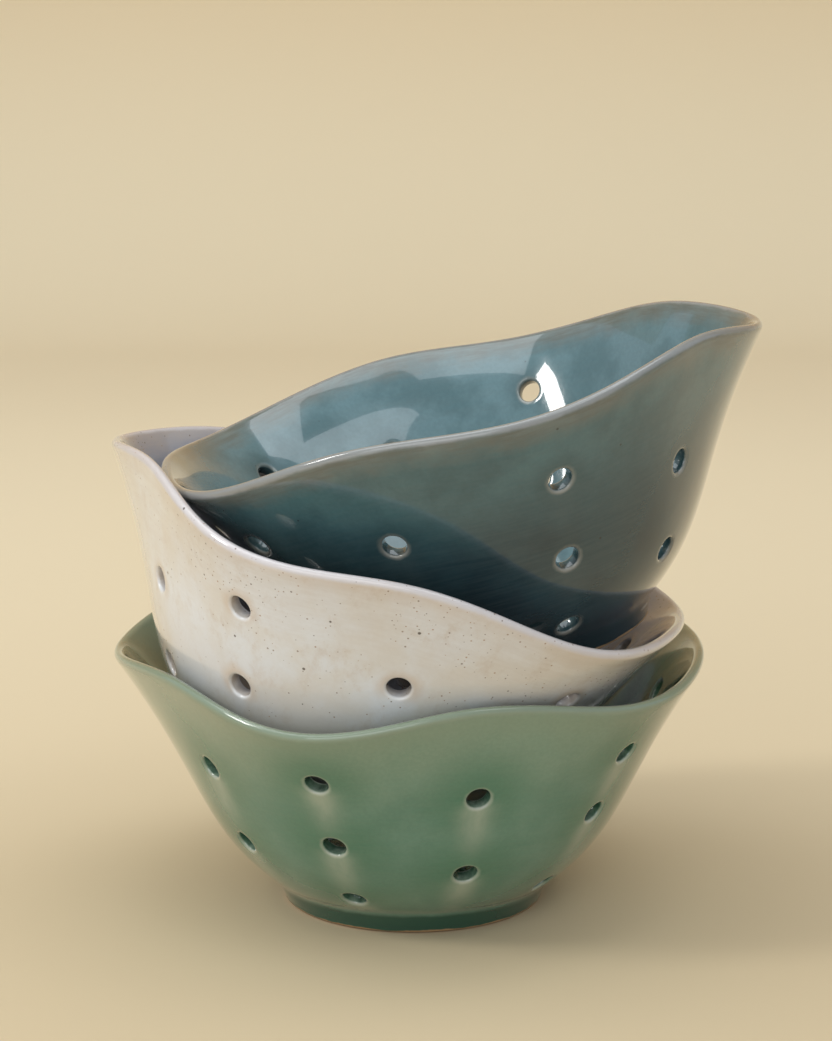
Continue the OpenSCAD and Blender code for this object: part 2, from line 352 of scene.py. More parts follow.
def hole_marks(azimuth, height, places, scales):
    """Distance from the nearest hole's middle, and the strength of the strongest streak"""
    nearest, streak = FAR, 0
    for (place_azimuth, place_height), (across, along) in zip(places, scales):
        aside = ((azimuth - place_azimuth + 180) % 360 - 180) * across
        if abs(aside) < FAR / 2:
            below = (place_height - height) * along
            nearest = min(nearest, math.hypot(aside, below))
            streak = max(streak, streak_share(aside, below))
    return nearest, streak


# %% [markdown]
# ## One bowl
#
# The wall and the floor are pierced sheets. The lip is the wall's top edge, extruded over in small
# steps round half a circle, and the wall thins a little towards it. The foot ring, the bend into the
# floor and the hole in the middle are truly round, so each is spun from a short line of points. All
# of these share the same columns, so their edges meet point on point and merging the doubles closes
# the clay.

# %% The cove, where the wall flows into the foot ring
SIDE_ANGLE = math.atan2(FOOT_TAPER, FOOT_HEIGHT - FOOT_EDGE)
COVE_RUN = COVE_RADIUS * math.tan((FOOT_ANGLE - SIDE_ANGLE) / 2)
DOWN_SIDE = Vector((math.sin(SIDE_ANGLE), math.cos(SIDE_ANGLE)))
COVE_START = Vector((FOOT_TOP_RADIUS, FOOT_HEIGHT)) - COVE_RUN * DOWN_SIDE
COVE_CENTRE = COVE_START + COVE_RADIUS * Vector((math.cos(SIDE_ANGLE), -math.sin(SIDE_ANGLE)))
COVE_SHARE = COVE_RUN / curve_slope(controls, 0).length
print("the cove starts", round(COVE_START.y, 2), "mm above the table")

# %% The wall with its lip
COLUMNS = 300
WALL_ROWS = 56
FLOOR_ROWS = 14
LIP_STEPS = 10
TWO_HOLE_SHARES = (0.33, 0.69)
THREE_HOLE_SHARES = (0.12, 0.49, 0.82)
HALF = WALL / 2
LIP_SHARE = 1 - HALF / rim_speed
THINNING_START = 0.86
THINNING = 0.27


def wall_hole_places(rim):
    return [((station + turn) * STATION_ANGLE, share + rise)
            for station, (turn, *rises) in enumerate(HOLES[rim])
            for share, rise in zip(TWO_HOLE_SHARES if is_crest(station) else THREE_HOLE_SHARES, rises)]


def roll_lip(sheet):
    """Extrudes the near side's top edge over half a circle to the far side"""
    edge = [e for e in sheet.edges if all(v.co.y > LIP_SHARE - 1e-4 and v.co.z == 0 for v in e.verts)]
    for step in range(1, LIP_STEPS + 1):
        turn = math.pi * step / LIP_STEPS
        grown = bmesh.ops.extrude_edge_only(sheet, edges=edge)["geom"]
        edge = [item for item in grown if isinstance(item, bmesh.types.BMEdge)]
        for point in {v for e in edge for v in e.verts}:
            point.co.y = LIP_SHARE + math.sin(turn) * HALF / rim_speed
            point.co.z = HALF * (1 - math.cos(turn))


def thinned(share, depth):
    """The depth at this share of the height, where the wall thins from inside towards its lip"""
    rise = max(0, (share - THINNING_START) / (1 - THINNING_START))
    return depth * (1 - THINNING * rise ** 2)


def wall_sheet(rim):
    sheet = flat_sheet(COLUMNS, WALL_ROWS, COVE_SHARE, LIP_SHARE)
    places = wall_hole_places(rim)
    pierce(sheet, wall_point, rim, places, WALL)
    roll_lip(sheet)
    scales = [millimetres_per_unit(wall_point, rim, *place) for place in places]
    add_marks(sheet)
    for point in sheet.verts:
        azimuth, share, depth = point.co
        nearest, streak = hole_marks(azimuth, share, places, scales)
        point.co = wall_point(rim, azimuth, share, thinned(share, depth))
        mark(sheet, point, rim_gap=(1 - share) * wall_run, hole_gap=bore_gap(nearest, depth, WALL),
             streak=streak, foot_gap=point.co.z, inside=depth / WALL)
    return sheet


# %% The floor with its ring of holes
INNER_ALONG = curve_slope(controls, COVE_SHARE).normalized()
INNER_START = curve_point(controls, COVE_SHARE) + WALL * Vector((-INNER_ALONG.y, INNER_ALONG.x))
BEND_CORNER = INNER_START - INNER_ALONG * (INNER_START.y - FLOOR_HEIGHT) / INNER_ALONG.y
FLOOR_RADIUS = BEND_CORNER.x - WALL


def floor_sheet(rim):
    sheet = flat_sheet(COLUMNS, FLOOR_ROWS, MOUTH, FLOOR_RADIUS)
    places = [(station * STATION_ANGLE, FLOOR_HOLE_REACH) for station in range(1, STATIONS, 2)]
    pierce(sheet, floor_point, rim, places, FLOOR_THICKNESS)
    scales = [millimetres_per_unit(floor_point, rim, *place) for place in places]
    add_marks(sheet)
    for point in sheet.verts:
        azimuth, radius, depth = point.co
        nearest = min(hole_marks(azimuth, radius, places, scales)[0], radius)
        point.co = floor_point(rim, azimuth, radius, depth)
        mark(sheet, point, rim_gap=FAR, hole_gap=bore_gap(nearest, depth, FLOOR_THICKNESS), streak=0,
             foot_gap=point.co.z, inside=1 - depth / FLOOR_THICKNESS)
    return sheet


# %% The round parts, spun from lines of points
COVE_STEPS = 10
EDGE_STEPS = 5
SIDE_STEPS = 4
BEND_STEPS = 8


def arc(centre, radius, first, last, steps):
    turns = [math.radians(first + (last - first) * step / steps) for step in range(steps + 1)]
    return [Vector(centre) + radius * Vector((math.cos(turn), math.sin(turn))) for turn in turns]


def foot_line():
    """From the wall down the cove and the foot ring, over its standing band and into the recess"""
    bottom = FOOT_TOP_RADIUS - FOOT_LEDGE - FOOT_TAPER
    band_inner = bottom - 2 * FOOT_EDGE - FOOT_BAND
    wall_turn, side_turn = 180 - math.degrees(FOOT_ANGLE), 180 - math.degrees(SIDE_ANGLE)
    cove = arc(COVE_CENTRE, COVE_RADIUS, wall_turn, side_turn, COVE_STEPS)
    outer = arc((bottom - FOOT_EDGE, FOOT_EDGE), FOOT_EDGE, 0, -90, EDGE_STEPS)
    inner = arc((band_inner + FOOT_EDGE, FOOT_EDGE), FOOT_EDGE, -90, -180, EDGE_STEPS)
    side = [cove[-1].lerp(outer[0], step / SIDE_STEPS) for step in range(1, SIDE_STEPS)]
    slope_end = Vector((band_inner - FOOT_TAPER, RECESS_DEPTH))
    underside_end = Vector((FLOOR_RADIUS, RECESS_DEPTH))
    underside = [slope_end, slope_end.lerp(underside_end, 0.5), underside_end]
    return [curve_point(controls, COVE_SHARE)] + cove[1:] + side + outer + inner + underside


def bend_line():
    """From the wall's inside down a soft bend to the floor"""
    end = Vector((FLOOR_RADIUS, FLOOR_HEIGHT))
    shares = [step / BEND_STEPS for step in range(BEND_STEPS + 1)]
    return [(1 - s) ** 2 * INNER_START + 2 * (1 - s) * s * BEND_CORNER + s ** 2 * end for s in shares]


def middle_hole_line():
    rings = [(MOUTH, 0)] + tunnel_rings(FLOOR_THICKNESS)
    return [Vector((radius, FLOOR_HEIGHT - depth)) for radius, depth in rings]


def spun(line, inside, near_hole):
    piece = bmesh.new()
    add_marks(piece)
    points = [piece.verts.new(round_axis(radius, -STATION_ANGLE / 2, height)) for radius, height in line]
    edges = [piece.edges.new(pair) for pair in zip(points, points[1:])]
    for point, (radius, height) in zip(points, line):
        gap = bore_gap(radius, FLOOR_HEIGHT - height, FLOOR_THICKNESS) if near_hole else FAR
        mark(piece, point, rim_gap=FAR, hole_gap=gap, streak=0, foot_gap=height, inside=inside)
    bmesh.ops.spin(piece, geom=points + edges, axis=(0, 0, 1), cent=(0, 0, 0), angle=2 * math.pi,
                   steps=COLUMNS, use_merge=True)
    return piece


# %% [markdown]
# ## Placing shader nodes
#
# A glaze is made of many small steps, and each step is a node. These helpers place one node with
# its inputs in a single line. An input may be a plain value or another node's output. Noise is
# drawn on a grid, and where all its layers share a line of that grid, the line shows. So patterns
# are shifted off the bowl's axis, and each finer layer is a little more than twice as fine.

# %% Helpers that place one node each
GRID_SHIFT = (31.7, 17.3, 5.9)
LACUNARITY = 2.3


def add_node(tree, kind, inputs=(), **settings):
    node = tree.nodes.new("ShaderNode" + kind)
    for setting, value in settings.items():
        setattr(node, setting, value)
    for socket, value in dict(inputs).items():
        if isinstance(value, bpy.types.NodeSocket):
            tree.links.new(value, node.inputs[socket])
        else:
            node.inputs[socket].default_value = value
    return node


def stored(tree, mark_name):
    return add_node(tree, "Attribute", attribute_name=mark_name).outputs["Fac"]


def upright_place(tree):
    """The place on the upright bowl in millimetres"""
    return add_node(tree, "Attribute", attribute_name="upright_place").outputs["Vector"]


def pattern_place(tree, stretch=(1, 1, 1)):
    """The same place, stretched where a pattern should be and shifted off the noise's own grid"""
    inputs = {0: upright_place(tree), 1: stretch, 2: GRID_SHIFT}
    return add_node(tree, "VectorMath", inputs, operation="MULTIPLY_ADD").outputs[0]


def maths(tree, operation, *values):
    return add_node(tree, "Math", enumerate(values), operation=operation).outputs[0]


def smooth(tree, value, low, high, to_low=0.0, to_high=1.0):
    """A soft step from to_low at low to to_high at high"""
    return add_node(tree, "MapRange", {0: value, 1: low, 2: high, 3: to_low, 4: to_high},
                    interpolation_type="SMOOTHSTEP").outputs[0]


def noise(tree, place, scale, detail=3.0, roughness=0.5):
    """Cloudy noise: at a scale of 1 / 9 its clouds are about 9 mm across"""
    return add_node(tree, "TexNoise", {"Vector": place, "Scale": scale, "Detail": detail,
                                       "Roughness": roughness, "Lacunarity": LACUNARITY}).outputs["Fac"]


def blend(tree, share, below, above):
    return add_node(tree, "Mix", {0: share, 6: below, 7: above}, data_type="RGBA").outputs[2]


# %% Helpers that start, finish and use a node group
def start_group(name, inputs, outputs):
    """An empty node group with its number sockets, and the ends of its two socket nodes"""
    group = bpy.data.node_groups.new(name, "ShaderNodeTree")
    for direction, sockets in (("INPUT", inputs), ("OUTPUT", outputs)):
        for socket in sockets:
            group.interface.new_socket(socket, in_out=direction, socket_type="NodeSocketFloat")
    entry = group.nodes.new("NodeGroupInput").outputs
    leave = group.nodes.new("NodeGroupOutput").inputs
    return group, entry, leave


def finish_group(group, leave, results):
    for socket, value in results.items():
        group.links.new(value, leave[socket])
    print("node group", group.name, "has", len(group.nodes), "nodes")
    return group


def use_group(tree, group, inputs):
    return add_node(tree, "Group", inputs, node_tree=group).outputs


# %% [markdown]
# ## Where the glaze is thin, where it pools, and where shade is painted
#
# Melted glaze slides off sharp edges and gathers in hollows. On the lip and round each hole it is
# so thin that the pale clay shows through, most of all at the hole's lower edge. Below a hole it
# has run down in a pale streak, and beside and above it the glaze lies thick. In the cove it pools
# under a pale line, and the band that stands on the table is bare. The pool's mask also carries
# painted shade at the foot, and the tunnel's mask paints shade inside each hole's bore. This group
# turns the distances stored on the mesh into one mask for each of these. A little noise moves every
# border, because no glaze stops on a ruled line.

# %% Masks from the stored distances
LEDGE_HEIGHT = curve_point(controls, COVE_SHARE).y
MASK_SIZES = ("Lip Width", "Band Width", "Shoulder Width", "Ring Width", "Halo Width", "Pool Height")
MASK_NAMES = ("Inside", "Shoulder", "Halo", "Streak", "Band", "Lip", "Ring", "Tunnel Shade", "Ledge",
              "Pool And Shade", "Bare")


def glaze_masks():
    group, entry, leave = start_group("glaze_masks", MASK_SIZES, MASK_NAMES)
    broad = maths(group, "SUBTRACT", noise(group, pattern_place(group), 1 / 9), 0.5)
    fine = maths(group, "SUBTRACT", noise(group, pattern_place(group), 1 / 2.5), 0.5)

    def moved(mark_name, wobble, reach):
        """A stored distance, moved to and fro by noise within about half the reach"""
        return maths(group, "MULTIPLY_ADD", wobble, reach, stored(group, mark_name))

    def fading(distance, width):
        """Full at the edge and gone at this width from it"""
        return smooth(group, distance, 0.0, width, 1.0, 0.0)

    def both(one, other):
        return maths(group, "MULTIPLY", one, other)

    streak = stored(group, "streak")
    outside = maths(group, "SUBTRACT", 1.0, stored(group, "inside"))
    hole_gap = moved("hole_gap", fine, 0.8)
    foot_gap = moved("foot_gap", broad, 1.2)
    edge = both(smooth(group, hole_gap, -0.8, -0.1), fading(hole_gap, entry["Ring Width"]))
    runs = smooth(group, noise(group, pattern_place(group, (1, 1, 0.25)), 1 / 4), 0.3, 0.6, 0.7, 1.0)
    ledge = both(smooth(group, foot_gap, LEDGE_HEIGHT - 1, LEDGE_HEIGHT),
                 smooth(group, foot_gap, LEDGE_HEIGHT, LEDGE_HEIGHT + 1.5, 1.0, 0.0))
    return finish_group(group, leave, {
        "Inside": smooth(group, stored(group, "inside"), 0.35, 0.75),
        "Shoulder": fading(moved("rim_gap", broad, 12), entry["Shoulder Width"]),
        "Halo": both(fading(moved("hole_gap", broad, 4), entry["Halo Width"]),
                     maths(group, "SUBTRACT", 1.0, streak)),
        "Streak": both(both(streak, runs), outside),
        "Band": fading(moved("rim_gap", broad, 5), entry["Band Width"]),
        "Lip": smooth(group, moved("rim_gap", broad, 1.0), maths(group, "MULTIPLY", entry["Lip Width"], 0.4),
                      entry["Lip Width"], 1.0, 0.0),
        "Ring": both(edge, maths(group, "MULTIPLY_ADD", streak, 0.5, 0.5)),
        # painted shade inside each hole's bore
        "Tunnel Shade": smooth(group, hole_gap, -1.1, -0.4, 1.0, 0.0),
        "Ledge": both(ledge, outside),
        # the pooled band at the foot, whose dark colour is also painted shade
        "Pool And Shade": both(smooth(group, foot_gap, maths(group, "MULTIPLY", entry["Pool Height"], 0.75),
                            entry["Pool Height"], 1.0, 0.0), outside),
        "Bare": smooth(group, foot_gap, 0.35, 0.75, 1.0, 0.0),
    })


# %% [markdown]
# ## Clouds, brush lines and speckles
#
# Up close no glaze is one colour. It has clouds where it lies thicker, faint lines along the rim that
# the potter's fingers and brush left, a fine grain, and on the cream bowl specks of iron from the
# clay. Each pattern could be painted, but noise measured in millimetres keeps its scale on all
# three bowls and has no seams.

# %% Clouds, brush lines and grain
def glaze_clouds():
    group, entry, leave = start_group("glaze_clouds", ("Size",), ("Clouds", "Lines", "Grain", "Height"))
    place = pattern_place(group)
    clouds = noise(group, place, maths(group, "DIVIDE", 1.0, entry["Size"]))
    around = add_node(group, "SeparateXYZ", {0: pattern_place(group, (0.08, 0.08, 0))}).outputs
    along_rim = add_node(group, "CombineXYZ", {0: around[0], 1: around[1], 2: stored(group, "rim_gap")})
    lines = noise(group, along_rim.outputs[0], 1.3, 4, 0.6)
    waves = noise(group, place, 1 / 14, 1)
    dimples = noise(group, place, 1 / 2.2, 2)
    return finish_group(group, leave, {
        "Clouds": smooth(group, clouds, 0.35, 0.65),
        "Lines": smooth(group, lines, 0.3, 0.7),
        "Grain": smooth(group, noise(group, place, 1 / 0.9), 0.3, 0.7),
        "Height": maths(group, "MULTIPLY_ADD", dimples, 0.12, waves),
    })


# %% Speckles
def glaze_speckles():
    """Round specks: a cell carries one if its random number is under the share"""
    group, entry, leave = start_group("glaze_speckles", ("Spacing", "Size", "Share"), ("Speck", "Tone"))
    scale = maths(group, "DIVIDE", 1.0, entry["Spacing"])
    cells = add_node(group, "TexVoronoi", {"Vector": pattern_place(group), "Scale": scale})
    chance = add_node(group, "SeparateColor", {0: cells.outputs["Color"]}).outputs
    reach = maths(group, "MULTIPLY", maths(group, "MULTIPLY_ADD", chance[1], 0.8, 0.4), entry["Size"])
    distance = maths(group, "MULTIPLY", cells.outputs["Distance"], entry["Spacing"])
    spot = smooth(group, distance, maths(group, "MULTIPLY", reach, 0.6), reach, 1.0, 0.0)
    chosen = maths(group, "LESS_THAN", chance[0], entry["Share"])
    return finish_group(group, leave, {"Speck": maths(group, "MULTIPLY", spot, chosen), "Tone": chance[2]})


MASKS = glaze_masks()
CLOUDS = glaze_clouds()
SPECKLES = glaze_speckles()

# %% [markdown]
# ## The three glazes
#
# All three lie on the same pale clay and behave alike, so each glaze is a list of layers. A layer
# has a mask, a strength and a colour, and is laid over all those before it. The lists run from the
# body of the glaze, over the clouds, to the sharp edges where it breaks. The shine is a glossy coat
# over a slightly softer body, as on real glaze.

# %% What every glaze has
CLAY = (0.40, 0.25, 0.13, 1)
BARE_ROUGHNESS = 0.75
COAT_ROUGHNESS = 0.03
GLASS_IOR = 1.5
BODY_SPECULAR = 0.25
WAVE_STRENGTH = 0.4
WAVE_HEIGHT = 0.5 * MM


def lay_glaze(tree, colour, layers):
    for mask, strength, tint in layers:
        colour = blend(tree, maths(tree, "MULTIPLY", mask, strength), colour, tint)
    return colour


def fire(name, tree, colour, masks, clouds, roughness):
    """Joins the glaze and the bare clay in one shader, with a coat over the glazed part"""
    colour = blend(tree, masks["Bare"], colour, CLAY)
    rough = smooth(tree, masks["Bare"], 0.0, 1.0, roughness, BARE_ROUGHNESS)
    coat = smooth(tree, masks["Bare"], 0.0, 1.0, 1.0, 0.0)
    bump = add_node(tree, "Bump", {"Height": clouds["Height"], "Strength": WAVE_STRENGTH,
                                   "Distance": WAVE_HEIGHT})
    shader = tree.nodes["Principled BSDF"]
    shader.inputs["IOR"].default_value = GLASS_IOR
    shader.inputs["Specular IOR Level"].default_value = BODY_SPECULAR
    shader.inputs["Coat Roughness"].default_value = COAT_ROUGHNESS
    tree.links.new(colour, shader.inputs["Base Color"])
    tree.links.new(rough, shader.inputs["Roughness"])
    tree.links.new(coat, shader.inputs["Coat Weight"])
    tree.links.new(bump.outputs[0], shader.inputs["Normal"])
    print(name, "has", len(tree.nodes), "nodes")


def new_material(name):
    material = bpy.data.materials.new(name)
    material.use_nodes = True
    return material, material.node_tree


# %% Celadon green glaze
def celadon_glaze():
    material, tree = new_material("celadon_glaze")
    masks = use_group(tree, MASKS, {"Lip Width": 1.2, "Band Width": 7, "Shoulder Width": 26,
                                    "Ring Width": 1.2, "Halo Width": 15, "Pool Height": 5.4})
    clouds = use_group(tree, CLOUDS, {"Size": 16})
    colour = lay_glaze(tree, (0.125, 0.250, 0.185, 1), [
        # painted shade: the green bowl's inside, shaded by the cream bowl in it, is drawn near black-green
        (masks["Inside"], 1, (0.024, 0.055, 0.038, 1)),
        (clouds["Clouds"], 0.6, (0.080, 0.195, 0.135, 1)),
        (masks["Shoulder"], 0.7, (0.245, 0.325, 0.235, 1)),
        (masks["Halo"], 0.85, (0.055, 0.175, 0.108, 1)),
        (clouds["Lines"], 0.08, (0.200, 0.250, 0.180, 1)),
        (clouds["Grain"], 0.10, (0.040, 0.090, 0.060, 1)),
        (masks["Streak"], 0.90, (0.310, 0.370, 0.285, 1)),
        (masks["Band"], 0.40, (0.200, 0.260, 0.180, 1)),
        # the thin glaze of the lip, drawn darker as painted shade of the cream bowl leaning over it
        (masks["Lip"], 0.60, (0.225, 0.265, 0.190, 1)),
        # painted shade with the pooled glaze: the foot band is drawn near black
        (masks["Pool And Shade"], 0.95, (0.014, 0.065, 0.042, 1)),
        (masks["Ledge"], 0.50, (0.240, 0.320, 0.260, 1)),
        (masks["Ring"], 0.90, (0.420, 0.450, 0.370, 1)),
        # painted shade inside the holes' bores
        (masks["Tunnel Shade"], 0.95, (0.010, 0.030, 0.020, 1)),
    ])
    fire("celadon_glaze", tree, colour, masks, clouds, 0.16)
    return material


# %% Speckled cream glaze
# Painted shade: the cream bowl turns darker and pinkish-grey towards its foot, where it stands in the green
# bowl
LOW_SHADE_FULL = 16
LOW_SHADE_END = 44


def cream_glaze():
    material, tree = new_material("cream_glaze")
    masks = use_group(tree, MASKS, {"Lip Width": 0.9, "Band Width": 4.5, "Shoulder Width": 26,
                                    "Ring Width": 1.1, "Halo Width": 3.6, "Pool Height": 5.4})
    clouds = use_group(tree, CLOUDS, {"Size": 18})
    rim_lines = maths(tree, "MULTIPLY", masks["Shoulder"], clouds["Lines"])
    stains = smooth(tree, noise(tree, pattern_place(tree, (1, 1, 0.6)), 1 / 7, 5, 0.7), 0.50, 0.72)
    low_wall_shade = smooth(tree, stored(tree, "foot_gap"), LOW_SHADE_FULL, LOW_SHADE_END, 1.0, 0.0)
    colour = lay_glaze(tree, (0.70, 0.73, 0.76, 1), [
        (clouds["Clouds"], 0.7, (0.64, 0.60, 0.53, 1)),
        (masks["Shoulder"], 0.4, (0.64, 0.58, 0.51, 1)),
        (stains, 0.40, (0.52, 0.42, 0.33, 1)),
        # painted shade on the lower wall
        (low_wall_shade, 0.55, (0.47, 0.42, 0.38, 1)),
        # painted shade: the cream bowl's inside, shaded by the blue bowl standing in it, is drawn much
        # darker than its outside
        (masks["Inside"], 1, (0.32, 0.32, 0.36, 1)),
        (masks["Halo"], 0.45, (0.52, 0.36, 0.22, 1)),
        (rim_lines, 0.20, (0.50, 0.43, 0.36, 1)),
        (clouds["Grain"], 0.06, (0.45, 0.40, 0.34, 1)),
        (masks["Band"], 0.45, (0.54, 0.43, 0.33, 1)),
        (masks["Lip"], 0.70, (0.56, 0.54, 0.56, 1)),
        # painted shade with the pooled glaze at the foot, which stands in the green bowl
        (masks["Pool And Shade"], 0.60, (0.45, 0.43, 0.42, 1)),
        (masks["Ring"], 0.75, (0.72, 0.74, 0.75, 1)),
        # painted shade inside the holes' bores
        (masks["Tunnel Shade"], 0.60, (0.36, 0.32, 0.26, 1)),
    ])
    near_rim = smooth(tree, masks["Shoulder"], 0.0, 1.0, 0.45, 0.95)
    patches = smooth(tree, noise(tree, pattern_place(tree), 1 / 9), 0.40, 0.65, 0.15, 1.0)
    crowd = maths(tree, "MULTIPLY", near_rim, patches)
    small = use_group(tree, SPECKLES, {"Spacing": 1.1, "Size": 0.26, "Share": crowd})
    large = use_group(tree, SPECKLES, {"Spacing": 4.2, "Size": 0.42, "Share": 0.45})
    iron = blend(tree, small["Tone"], (0.05, 0.035, 0.025, 1), (0.36, 0.20, 0.09, 1))
    colour = lay_glaze(tree, colour, [
        (small["Speck"], 0.70, iron),
        (large["Speck"], 0.85, (0.06, 0.04, 0.03, 1)),
    ])
    fire("cream_glaze", tree, colour, masks, clouds, 0.18)
    return material


# %% Slate blue glaze
HELD_PLACE = (65, 12, 67)
HELD_REACH = 16


def held_patch(tree, middle, reach):
    """The thin patch that is left where a bowl was held at its rim while it was dipped"""
    away = add_node(tree, "VectorMath", {0: upright_place(tree), 1: middle}, operation="DISTANCE")
    wobble = noise(tree, pattern_place(tree), 1 / 6)
    distance = maths(tree, "MULTIPLY_ADD", wobble, reach / 2, away.outputs["Value"])
    return smooth(tree, distance, reach * 0.6, reach * 1.3, 1.0, 0.0)


def slate_glaze():
    material, tree = new_material("slate_glaze")
    masks = use_group(tree, MASKS, {"Lip Width": 0.8, "Band Width": 5.5, "Shoulder Width": 34,
                                    "Ring Width": 1.4, "Halo Width": 6, "Pool Height": 5.4})
    clouds = use_group(tree, CLOUDS, {"Size": 14})
    rim_lines = maths(tree, "MULTIPLY", masks["Band"], clouds["Lines"])
    inner_clouds = maths(tree, "MULTIPLY", masks["Inside"], clouds["Clouds"])
    # Painted shade and reflection: the outside is drawn near black and darkly clouded low down, where the
    # cream bowl shades it and shows in it
    colour = lay_glaze(tree, (0.012, 0.032, 0.040, 1), [
        # the grey-green under the rim is the glaze's own; its fade into the dark body paints the shade below
        (masks["Shoulder"], 0.85, (0.086, 0.180, 0.190, 1)),
        (clouds["Clouds"], 0.50, (0.024, 0.065, 0.075, 1)),
        (masks["Inside"], 1, (0.115, 0.205, 0.225, 1)),
        (inner_clouds, 0.55, (0.040, 0.100, 0.110, 1)),
        (masks["Halo"], 0.40, (0.020, 0.050, 0.055, 1)),
        (clouds["Lines"], 0.10, (0.130, 0.160, 0.150, 1)),
        (clouds["Grain"], 0.10, (0.015, 0.035, 0.040, 1)),
        (masks["Streak"], 0.15, (0.130, 0.160, 0.150, 1)),
        (masks["Band"], 0.75, (0.180, 0.190, 0.165, 1)),
        (rim_lines, 0.60, (0.095, 0.090, 0.070, 1)),
        (masks["Lip"], 0.75, (0.270, 0.275, 0.270, 1)),
        (held_patch(tree, HELD_PLACE, HELD_REACH), 0.8, (0.310, 0.345, 0.335, 1)),
        # painted shade with the pooled glaze: the foot, down in the cream bowl, is drawn near black
        (masks["Pool And Shade"], 0.80, (0.012, 0.028, 0.032, 1)),
        (masks["Ring"], 0.80, (0.330, 0.310, 0.260, 1)),
        # painted shade inside the holes' bores
        (masks["Tunnel Shade"], 0.95, (0.010, 0.025, 0.030, 1)),
    ])
    specks = use_group(tree, SPECKLES, {"Spacing": 6, "Size": 0.35, "Share": 0.5})
    colour = lay_glaze(tree, colour, [(specks["Speck"], 0.7, (0.02, 0.02, 0.02, 1))])
    fire("slate_glaze", tree, colour, masks, clouds, 0.14)
    return material


GLAZES = {"green_bowl": celadon_glaze, "cream_bowl": cream_glaze, "blue_bowl": slate_glaze}

# %% [markdown]
# ## Turning, leaning and placing
#
# The bowl is made upright with its first crest to the right. It is then turned about its axis,
# leaned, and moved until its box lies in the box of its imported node. That way the lean and the
# turn are all that is repeated here, and the seat itself comes from the construction. A smooth skin
# and a faceted solid differ by a hair, so each bowl is also scaled by a hair to lie in its box.

# %% A finished bowl in its place
MERGE_DISTANCE = 0.004


def joined(pieces):
    whole = bmesh.new()
    for piece in pieces:
        holder = bpy.data.meshes.new("holder")
        piece.to_mesh(holder)
        piece.free()
        whole.from_mesh(holder)
        bpy.data.meshes.remove(holder)
    bmesh.ops.remove_doubles(whole, verts=whole.verts, dist=MERGE_DISTANCE)
    bmesh.ops.recalc_face_normals(whole, faces=whole.faces)
    return whole


def corners(points):
    return [Vector([pick(p[axis] for p in points) for axis in range(3)]) for pick in (min, max)]


def make_bowl(name):
    """One closed bowl, smooth all over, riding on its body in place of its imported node"""
    clay = joined([wall_sheet(name), floor_sheet(name), spun(foot_line(), 0, False),
                   spun(bend_line(), 1, False), spun(middle_hole_line(), 1, True)])
    upright = clay.verts.layers.float_vector.new("upright_place")
    for point in clay.verts:
        point[upright] = point.co
    lean = Matrix.Rotation(math.radians(LEANS[name]), 4, "Y")
    turn = Matrix.Rotation(math.radians(TURNS[name]), 4, "Z")
    bmesh.ops.transform(clay, matrix=Matrix.Scale(MM, 4) @ lean @ turn, verts=clay.verts)
    low, high = corners([v.co for v in clay.verts])
    box_low, box_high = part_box(name)
    fit = min(packed / dressed for packed, dressed in zip(box_high - box_low, high - low))
    move = (box_low + box_high - fit * (low + high)) / 2
    bmesh.ops.transform(clay, matrix=Matrix.Translation(move) @ Matrix.Scale(fit, 4), verts=clay.verts)
    open_edges = sum(not edge.is_manifold for edge in clay.edges)
    mesh = bpy.data.meshes.new(name + "_clay")
    clay.to_mesh(mesh)
    clay.free()
    mesh.shade_smooth()
    bowl = bpy.data.objects.new(name + "_glazed", mesh)
    bpy.context.collection.objects.link(bowl)
    bowl.shadow_terminator_geometry_offset = 0
    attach(bowl, name)
    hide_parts(name)
    mesh.materials.append(GLAZES[name]())
    print(name, "has", len(mesh.polygons), "faces and", open_edges, "open edges; it was scaled by",
          round(fit, 4), "to lie in its packed box")


for name in RIMS:
    make_bowl(name)

# %% [markdown]
# ## Floor and light
#
# The bowls stand on a plain pale sweep: a floor that curves up into a backdrop, so that no corner
# shows. Its plaster carries painted light and shade: paler at the back of the floor, darker nearer
# the front and up the backdrop. A small bright window on the left makes the one strong highlight in
# the blue bowl. Three wide dim panels hang level above. They light the lips from the top, and the gap
# between them is the dark bend in the blue bowl's reflection. The walls lean outward and so take most
# of their light from below, where a warm floor would tint them yellow. So the floor in front of the
# picture is as neutral as a white card. A wide lamp behind the camera and the pale world fill the
# rest.

# %% Floor and backdrop in one sweep
SWEEP_WIDTH = 6
SWEEP_FRONT = -2.5
SWEEP_BACK = 0.95
SWEEP_BEND = 0.35
SWEEP_TOP = 4


def make_sweep():
    cloth = bmesh.new()
    bend = arc((SWEEP_BACK, SWEEP_BEND), SWEEP_BEND, -90, 0, 24)
    line = [Vector((SWEEP_FRONT, 0))] + bend + [Vector((SWEEP_BACK + SWEEP_BEND, SWEEP_TOP))]
    points = [cloth.verts.new((-SWEEP_WIDTH / 2, depth, height)) for depth, height in line]
    edges = [cloth.edges.new(pair) for pair in zip(points, points[1:])]
    grown = bmesh.ops.extrude_edge_only(cloth, edges=edges)["geom"]
    far = [item for item in grown if isinstance(item, bmesh.types.BMVert)]
    bmesh.ops.translate(cloth, vec=(SWEEP_WIDTH, 0, 0), verts=far)
    bmesh.ops.recalc_face_normals(cloth, faces=cloth.faces)
    mesh = bpy.data.meshes.new("sweep")
    cloth.to_mesh(mesh)
    cloth.free()
    mesh.shade_smooth()
    sweep = bpy.data.objects.new("sweep", mesh)
    bpy.context.collection.objects.link(sweep)
    return sweep


